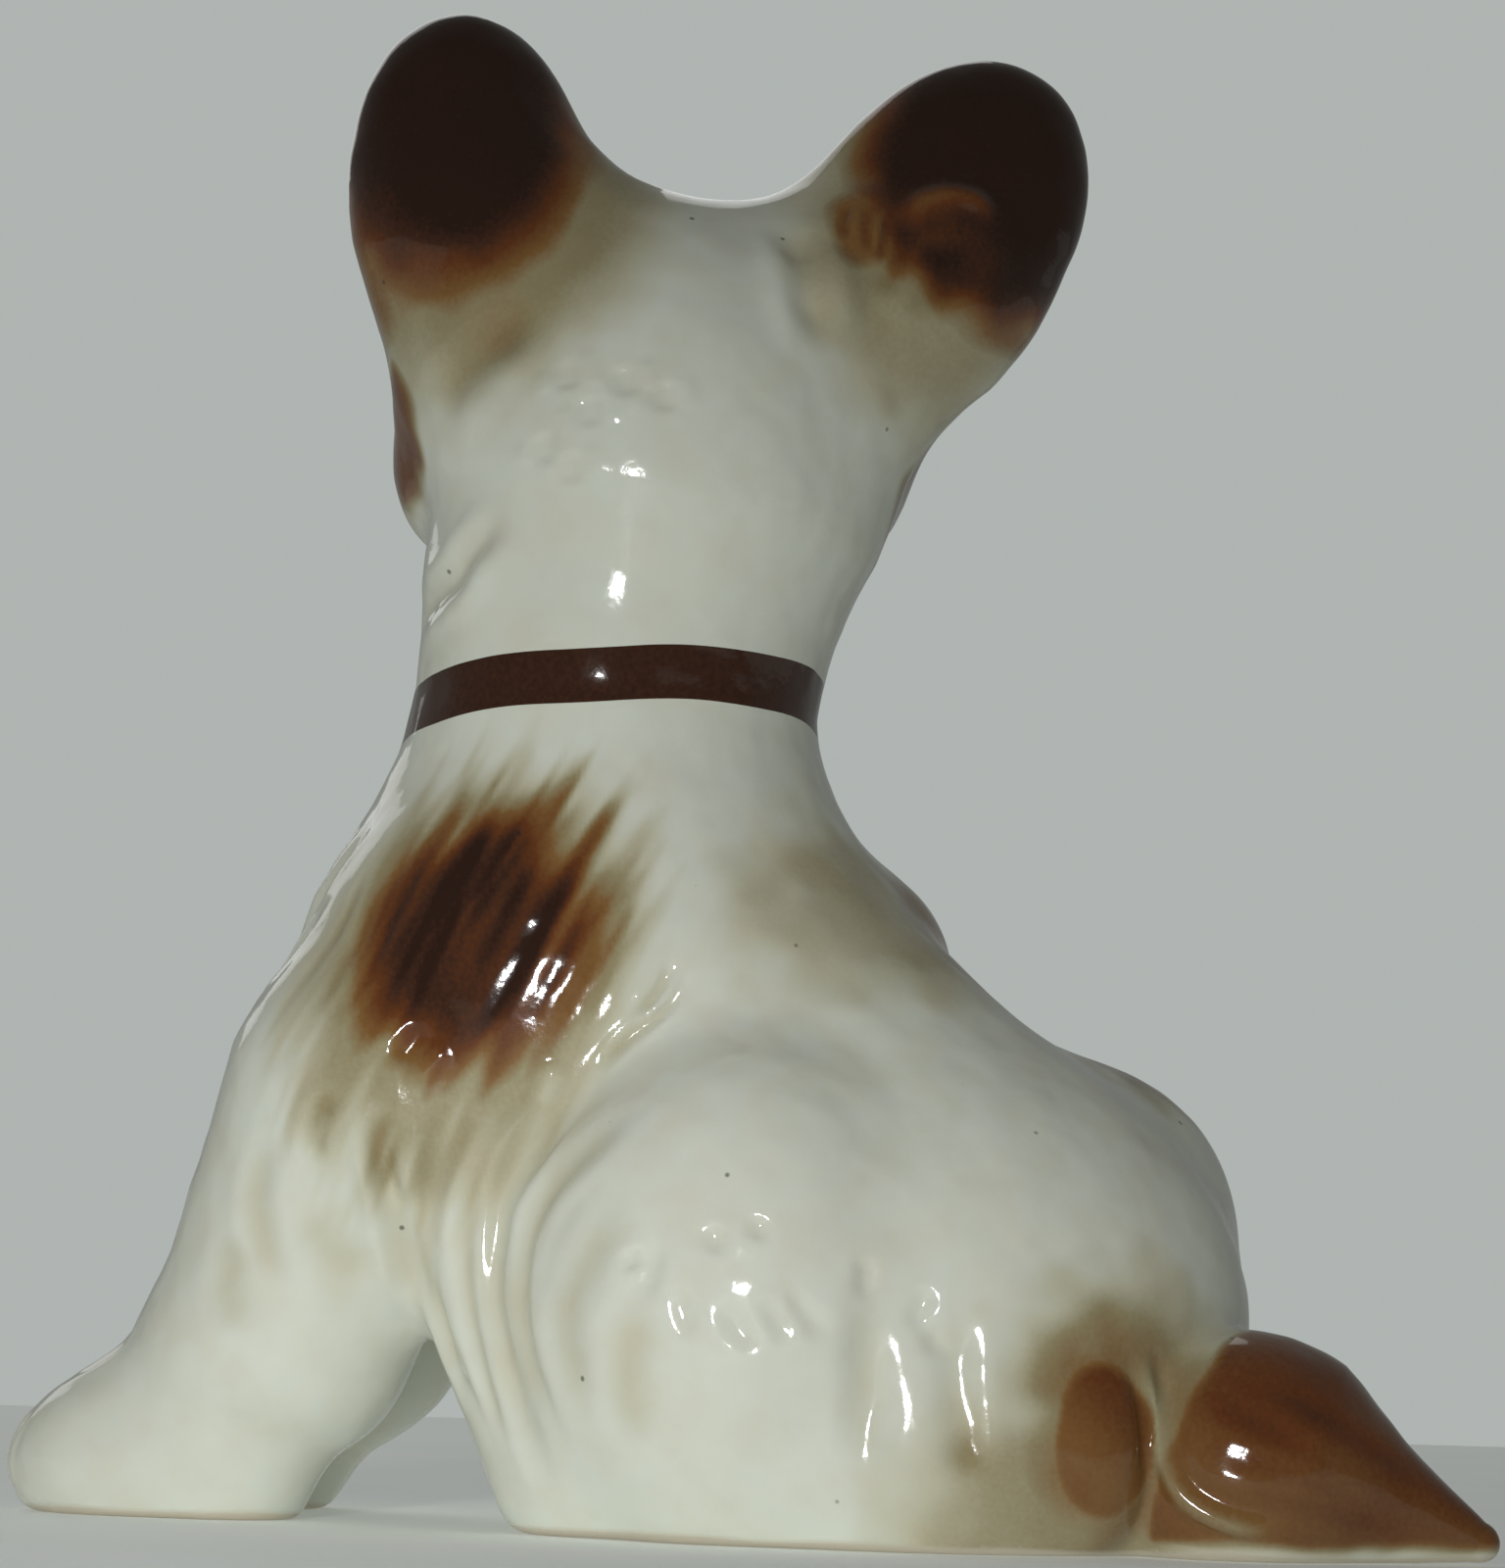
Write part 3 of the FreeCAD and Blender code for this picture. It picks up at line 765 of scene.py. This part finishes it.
def collar_bent(points):
    """Points bent near the collar, so that its band waves by hand and climbs the nape."""
    offset = points - COLLAR_CENTER
    angle = np.arctan2(offset[:, 1], offset[:, 0])
    wave = 0.16 * np.sin(3 * angle + 0.7) + 0.08 * np.sin(7 * angle) - 0.9 * np.cos(angle - NAPE_TURN)
    near = np.exp(-((offset @ COLLAR_NORMAL / 8.0) ** 2))
    return points + (wave * near)[:, None] * COLLAR_NORMAL


def part(form, point, normal):
    """Cut a closed form along a plane: the closed half behind the plane and the one ahead."""
    halves = []
    for behind in (True, False):
        half = form.copy()
        everything = half.verts[:] + half.edges[:] + half.faces[:]
        cut = bmesh.ops.bisect_plane(
            half, geom=everything, plane_co=Vector(point), plane_no=Vector(normal),
            clear_outer=behind, clear_inner=not behind,
        )
        rim = [item for item in cut["geom_cut"] if isinstance(item, bmesh.types.BMEdge)]
        cap = bmesh.ops.triangle_fill(half, edges=rim, use_beauty=True)
        facing = Vector(normal) if behind else -Vector(normal)
        for face in cap["geom"]:
            if isinstance(face, bmesh.types.BMFace):
                face.smooth = False
                face.normal_update()
                if face.normal.dot(facing) < 0:
                    face.normal_flip()
        halves.append(half)
    form.free()
    return halves


def write_piece(form, name, material):
    """Turn a closed form into a piece, in metres, shaded by the uncut dog's own normals."""
    mesh = bpy.data.meshes.new(name)
    form.to_mesh(mesh)
    form.free()
    place = read_points(mesh, "place")
    sheen = read_points(mesh, "sheen")
    mesh.vertices.foreach_set("co", (place * MM).ravel())
    mesh.update()
    for helper in ("place", "sheen"):
        mesh.attributes.remove(mesh.attributes[helper])
    corner_points = np.empty(len(mesh.loops), dtype=np.int32)
    mesh.loops.foreach_get("vertex_index", corner_points)
    corner_normals = sheen[corner_points]
    for face in mesh.polygons:
        if not face.use_smooth:
            corner_normals[list(face.loop_indices)] = face.normal
    mesh.normals_split_custom_set(corner_normals)
    mesh.materials.append(material)
    piece = bpy.data.objects.new(name, mesh)
    bpy.context.scene.collection.objects.link(piece)
    return piece


def read_points(mesh, attribute):
    """A mesh's vector attribute, one row per point."""
    values = np.empty(len(mesh.vertices) * 3)
    mesh.attributes[attribute].data.foreach_get("vector", values)
    return values.reshape(-1, 3)


def part_dog(form):
    """The closed form of each piece, by the name of the frame's node."""
    pieces = {}
    edge = COLLAR_NORMAL * COLLAR_WIDTH / 2
    body, above = part(form, COLLAR_CENTER - edge, COLLAR_NORMAL)
    pieces["collar_band"], head = part(above, COLLAR_CENTER + edge, COLLAR_NORMAL)
    for node, root, facing in (
        ("ear_left", (-11.5, 0, 11), (-0.75, 0, 0.66)),
        ("ear_right", (11.5, 0, 11), (0.80, 0, 0.60)),
    ):
        head, pieces[node] = part(head, from_head(root), HEAD_AXES @ np.array(facing))
    pieces["head_shell"] = head
    body, legs = part(body, (0, -36.5, 40), (0, -0.88, -0.47))
    pieces["foreleg_right"], pieces["foreleg_left"] = part(legs, (0, 0, 0), (1, 0, 0))
    body, pieces["tail_plume"] = part(body, PLUME_ROOT, PLUME_JOINT)
    pieces["torso_shell"], pieces["tail_tuft"] = part(body, (12.9, 33.1, 0), (0.70, 0.72, 0))
    return pieces


# ---------------------------------------------------------------- materials

SPECK = (0.03, 0.02, 0.015, 1.0)
COLLAR_PAINT = 0.92
EYE_RINGS = [
    (0.00, (0.006, 0.005, 0.005, 1.0)),
    (0.24, (0.006, 0.005, 0.005, 1.0)),
    (0.30, (0.11, 0.040, 0.015, 1.0)),
    (0.50, (0.16, 0.065, 0.022, 1.0)),
    (0.58, (0.020, 0.010, 0.008, 1.0)),
]
WHITE = (0.72, 0.75, 0.66, 1.0)
CREAM = (0.70, 0.70, 0.59, 1.0)
CLAY = (0.60, 0.55, 0.44, 1.0)
# How each thickness of brown paint tints the white beneath it, from a mist to full umber.
BROWN_TINTS = [
    (0.00, (1.00, 1.00, 1.00, 1.0)),
    (0.15, (0.80, 0.75, 0.64, 1.0)),
    (0.32, (0.48, 0.40, 0.26, 1.0)),
    (0.50, (0.33, 0.165, 0.060, 1.0)),
    (0.70, (0.20, 0.060, 0.018, 1.0)),
    (0.86, (0.085, 0.031, 0.018, 1.0)),
    (0.97, (0.042, 0.016, 0.010, 1.0)),
]


def node_tree(name):
    """A new material, its node tree and its Principled shader."""
    material = bpy.data.materials.new(name)
    material.use_nodes = True
    tree = material.node_tree
    return material, tree, tree.nodes["Principled BSDF"]


def add_node(tree, kind, values=None, **settings):
    """Add a shader node, with its settings, and with values or links for its sockets."""
    node = tree.nodes.new(kind)
    for setting, value in settings.items():
        setattr(node, setting, value)
    for socket, value in (values or {}).items():
        if isinstance(value, bpy.types.NodeSocket):
            tree.links.new(value, node.inputs[socket])
        else:
            node.inputs[socket].default_value = value
    return node


def amount(tree, name):
    """The amount of a paint over the skin."""
    return add_node(tree, "ShaderNodeAttribute", attribute_name=name).outputs["Fac"]


def mixed(tree, share, first, second):
    """Two colours mixed by a share."""
    node = add_node(tree, "ShaderNodeMix", data_type="RGBA")
    for socket, value in ((node.inputs[0], share), (node.inputs[6], first), (node.inputs[7], second)):
        if isinstance(value, bpy.types.NodeSocket):
            tree.links.new(value, socket)
        else:
            socket.default_value = value
    return node.outputs[2]


def graded(tree, value, low, high):
    """A value stretched so that low gives 0 and high gives 1, clamped."""
    node = add_node(tree, "ShaderNodeMapRange", {0: value, 1: low, 2: high})
    return node.outputs[0]


def noise(tree, scale, detail=2.0):
    """Noise in the object's own space; scale is in features per metre."""
    place = add_node(tree, "ShaderNodeTexCoord").outputs["Object"]
    values = {"Vector": place, "Scale": scale, "Detail": detail}
    return add_node(tree, "ShaderNodeTexNoise", values).outputs["Fac"]


def arithmetic(tree, operation, *values):
    """The result of one Math node."""
    node = add_node(tree, "ShaderNodeMath", dict(enumerate(values)), operation=operation)
    return node.outputs[0]


def specks(tree):
    """A few iron specks, each much smaller than a pinhead, in one cell out of five."""
    place = add_node(tree, "ShaderNodeTexCoord").outputs["Object"]
    cells = add_node(tree, "ShaderNodeTexVoronoi", {"Vector": place, "Scale": 330.0})
    dot = graded(tree, cells.outputs["Distance"], 0.085, 0.045)
    pick = add_node(tree, "ShaderNodeSeparateColor", {"Color": cells.outputs["Color"]})
    chosen = graded(tree, pick.outputs["Red"], 0.80, 0.82)
    return arithmetic(tree, "MULTIPLY", arithmetic(tree, "MULTIPLY", dot, chosen), 0.7)


def ramp(tree, value, stops):
    """A colour read off a list of (place, colour) stops."""
    node = add_node(tree, "ShaderNodeValToRGB", {"Fac": value})
    elements = node.color_ramp.elements
    while len(elements) < len(stops):
        elements.new(0.5)
    for element, (place, colour) in zip(elements, stops):
        element.position = place
        element.color = colour
    return node.outputs["Color"]


def glaze(name):
    """Painted, glazed ceramic: airbrushed browns, with painted shade on the tail's lock among them, over
    cool white, and one flat coat on the collar.
    """
    material, tree, shader = node_tree(name)
    undercoat = COLLAR_PAINT if name == "collar_glaze" else 0.0
    mottle = graded(tree, noise(tree, 260.0, 4.0), 0.35, 0.7)
    white = mixed(tree, mottle, WHITE, CREAM)
    grain = graded(tree, noise(tree, 2600.0, 3.0), 0.3, 0.8)
    laid = arithmetic(tree, "MAXIMUM", amount(tree, "brown"), undercoat)
    grainy = arithmetic(tree, "MULTIPLY", laid, arithmetic(tree, "MULTIPLY_ADD", grain, 0.10, 0.95))
    tint = ramp(tree, grainy, BROWN_TINTS)
    painted = add_node(tree, "ShaderNodeMix", data_type="RGBA", blend_type="MULTIPLY")
    painted.inputs[0].default_value = 1.0
    tree.links.new(white, painted.inputs[6])
    tree.links.new(tint, painted.inputs[7])
    fired = mixed(tree, specks(tree), painted.outputs[2], SPECK)
    colour = mixed(tree, amount(tree, "bare"), fired, CLAY)
    tree.links.new(colour, shader.inputs["Base Color"])
    skin = add_node(
        tree, "ShaderNodeBump",
        {"Height": noise(tree, 900.0, 3.0), "Strength": 0.35, "Distance": 0.00006},
    )
    tree.links.new(skin.outputs["Normal"], shader.inputs["Normal"])
    roughness = add_node(
        tree, "ShaderNodeMapRange", {0: amount(tree, "bare"), 3: 0.08, 4: 0.6}
    )
    tree.links.new(roughness.outputs[0], shader.inputs["Roughness"])
    shader.inputs["IOR"].default_value = 1.5
    return material


def eye_glaze(name):
    """A black pupil in a chestnut iris, rimmed in umber, with a painted white glint."""
    material, tree, shader = node_tree(name)
    away = arithmetic(tree, "MULTIPLY", amount(tree, "from_pupil"), 0.4)
    wobble = arithmetic(tree, "MULTIPLY_ADD", noise(tree, 1800.0), 0.06, away)
    rings = ramp(tree, wobble, EYE_RINGS)
    tree.links.new(mixed(tree, amount(tree, "glint"), rings, WHITE), shader.inputs["Base Color"])
    shader.inputs["Roughness"].default_value = 0.05
    return material


def nose_glaze(name):
    """Nearly black, with a fine pebbled grain."""
    material, tree, shader = node_tree(name)
    place = add_node(tree, "ShaderNodeTexCoord").outputs["Object"]
    pebbles = add_node(tree, "ShaderNodeTexVoronoi", {"Vector": place, "Scale": 2200.0})
    tone = mixed(tree, pebbles.outputs["Distance"], (0.035, 0.020, 0.016, 1), (0.010, 0.007, 0.007, 1))
    tree.links.new(tone, shader.inputs["Base Color"])
    bump = add_node(
        tree, "ShaderNodeBump",
        {"Height": pebbles.outputs["Distance"], "Strength": 0.5, "Distance": 0.0001},
    )
    tree.links.new(bump.outputs["Normal"], shader.inputs["Normal"])
    shader.inputs["Roughness"].default_value = 0.16
    return material


# ---------------------------------------------------------------- the pieces

# Half the side of the box that a small piece is meshed in, and its grid.
SMALL_REACH = 5.0
SMALL_STEP = 0.5


def attach(form, node, material):
    """Write a form as the piece that stands for one CAD node, on that node's slot."""
    piece = write_piece(form, f"{node}_glazed", material)
    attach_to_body(piece, "root")
    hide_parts(node)


def small_form(form, center, colours):
    """A whole small piece from its form, with paint made from its points in the head's frame."""
    place = from_head(center)
    points, quads = mesh_form(form, place - SMALL_REACH, place + SMALL_REACH, SMALL_STEP)
    return joined_form(points, quads, colours(points), points)


def eye_paint(side):
    """A painter for one eye: the distance from the middle of its iris, and the painted glint."""
    def colours(points):
        local = to_head(points) * np.array([side, 1.0, 1.0])
        away = np.hypot(local[:, 0] - EYE[0] - IRIS_OFFSET[0], local[:, 2] - EYE[2])
        glint = np.hypot(local[:, 0] - EYE[0] + 0.15, local[:, 2] - EYE[2] - 0.55)
        return {"from_pupil": away, "glint": 1 - rise(glint, 0.22, 0.34)}
    return colours


def make_dog():
    """Sculpt the dog, part it, and put every piece on the frame."""
    slots = {item["node"]: item["material_slot"] for item in frame["record"]["subparts"]}
    makers = {"eye_glaze": eye_glaze, "nose_glaze": nose_glaze}
    materials = {slot: makers.get(slot, glaze)(slot) for slot in sorted(set(slots.values()))}
    skin, quads, colours = model_skin()
    forms = part_dog(joined_form(skin, quads, colours, collar_bent(skin)))
    for node, side in (("eye_left", -1), ("eye_right", 1)):
        center = EYE * np.array([side, 1.0, 1.0])
        forms[node] = small_form(lambda points: eye_form(points, side), center, eye_paint(side))
    forms["nose"] = small_form(nose_form, NOSE, lambda points: {})
    for node, form in forms.items():
        attach(form, node, materials[slots[node]])


# ---------------------------------------------------------------- camera, floor and light

CAMERA_TURN = math.radians(110.0)
CAMERA_DISTANCE = 460.0
CAMERA_HEIGHT = 20.0
CAMERA_AIM_HEIGHT = 54.1
CAMERA_ROLL = math.radians(1.6)
SENSOR = 36.0
LENS = 145.9
TO_CAMERA = Vector((math.sin(CAMERA_TURN), -math.cos(CAMERA_TURN), 0.0))
TO_RIGHT = Vector((math.cos(CAMERA_TURN), math.sin(CAMERA_TURN), 0.0))
FLOOR_REACH = 900.0
FLOOR_END = 290.0
FLOOR_GLOW = 0.18
WALL_TONE = (0.43, 0.46, 0.445, 1.0)
SOFT_TONE = (0.96, 1.0, 0.95, 1.0)
NEAR_GLOW = 0.09
FAR_GLOW = 0.23


def aim(thing, place, target, roll=0.0):
    """Put a camera or lamp at a place, in millimetres, looking at a target."""
    looking = (target - place).to_track_quat("-Z", "Y")
    thing.rotation_mode = "QUATERNION"
    thing.rotation_quaternion = looking @ Quaternion((0, 0, 1), roll)
    thing.location = place * MM
    bpy.context.scene.collection.objects.link(thing)


def make_camera():
    """A long lens, low down behind the dog's left shoulder."""
    camera = bpy.data.cameras.new("camera")
    camera.sensor_width = SENSOR
    camera.lens = LENS
    camera.clip_start = 0.01
    holder = bpy.data.objects.new("camera", camera)
    place = TO_CAMERA * CAMERA_DISTANCE + Vector((0, 0, CAMERA_HEIGHT))
    aim(holder, place, Vector((0, 0, CAMERA_AIM_HEIGHT)), CAMERA_ROLL)
    bpy.context.scene.camera = holder


def make_lamp(name, place, target, size, power, spread):
    """A square soft lamp: its place, target and size in mm, power in watts, spread in degrees."""
    lamp = bpy.data.lights.new(name, "AREA")
    lamp.spread = math.radians(spread)
    lamp.size = size * MM
    lamp.energy = power
    aim(bpy.data.objects.new(name, lamp), Vector(place), Vector(target))


def make_floor():
    """A plain pale table top, which ends a little way behind the dog."""
    mesh = bpy.data.meshes.new("floor")
    corners = [
        (TO_RIGHT * across - TO_CAMERA * behind) * MM
        for across, behind in (
            (-FLOOR_REACH, FLOOR_END),
            (-FLOOR_REACH, -FLOOR_REACH),
            (FLOOR_REACH, -FLOOR_REACH),
            (FLOOR_REACH, FLOOR_END),
        )
    ]
    mesh.from_pydata(corners, [], [(0, 1, 2, 3)])
    floor = bpy.data.objects.new("floor", mesh)
    bpy.context.scene.collection.objects.link(floor)
    material, tree, shader = node_tree("floor_paper")
    tone = mixed(tree, noise(tree, 40.0), (0.78, 0.82, 0.79, 1), (0.84, 0.87, 0.85, 1))
    tree.links.new(tone, shader.inputs["Base Color"])
    tree.links.new(tone, shader.inputs["Emission Color"])
    shader.inputs["Emission Strength"].default_value = FLOOR_GLOW
    shader.inputs["Roughness"].default_value = 0.8
    mesh.materials.append(material)


def light_room():
    """A pale room: a low flash beside the camera, and soft light, most of it off the far side."""
    world = bpy.data.worlds.new("room")
    bpy.context.scene.world = world
    world.use_nodes = True
    tree = world.node_tree
    seen = tree.nodes["Background"]
    seen.inputs["Color"].default_value = WALL_TONE
    direction = add_node(tree, "ShaderNodeTexCoord").outputs["Generated"]
    away = add_node(
        tree, "ShaderNodeVectorMath", {0: direction, 1: -TO_CAMERA}, operation="DOT_PRODUCT"
    ).outputs["Value"]
    glow = add_node(
        tree, "ShaderNodeMapRange", {0: away, 1: -0.3, 2: 0.9, 3: NEAR_GLOW, 4: FAR_GLOW}
    ).outputs[0]
    lighting = add_node(tree, "ShaderNodeBackground", {"Color": SOFT_TONE, "Strength": glow})
    to_eye = add_node(tree, "ShaderNodeLightPath").outputs["Is Camera Ray"]
    either = add_node(
        tree, "ShaderNodeMixShader", {0: to_eye, 1: lighting.outputs[0], 2: seen.outputs[0]}
    )
    tree.links.new(either.outputs[0], tree.nodes["World Output"].inputs["Surface"])
    flash = TO_CAMERA * CAMERA_DISTANCE - TO_RIGHT * 105 + Vector((0, 0, 50))
    make_lamp("flash", flash, -TO_RIGHT * 18 + Vector((0, 0, 10)), size=36, power=0.057, spread=40)
    far_side = -TO_CAMERA * 560 - TO_RIGHT * 200 + Vector((0, 0, 420))
    make_lamp("far_fill", far_side, (0, 0, 50), size=500, power=0.28, spread=120)


make_camera()
make_floor()
light_room()
make_dog()
bpy.context.scene.view_settings.view_transform = "Standard"
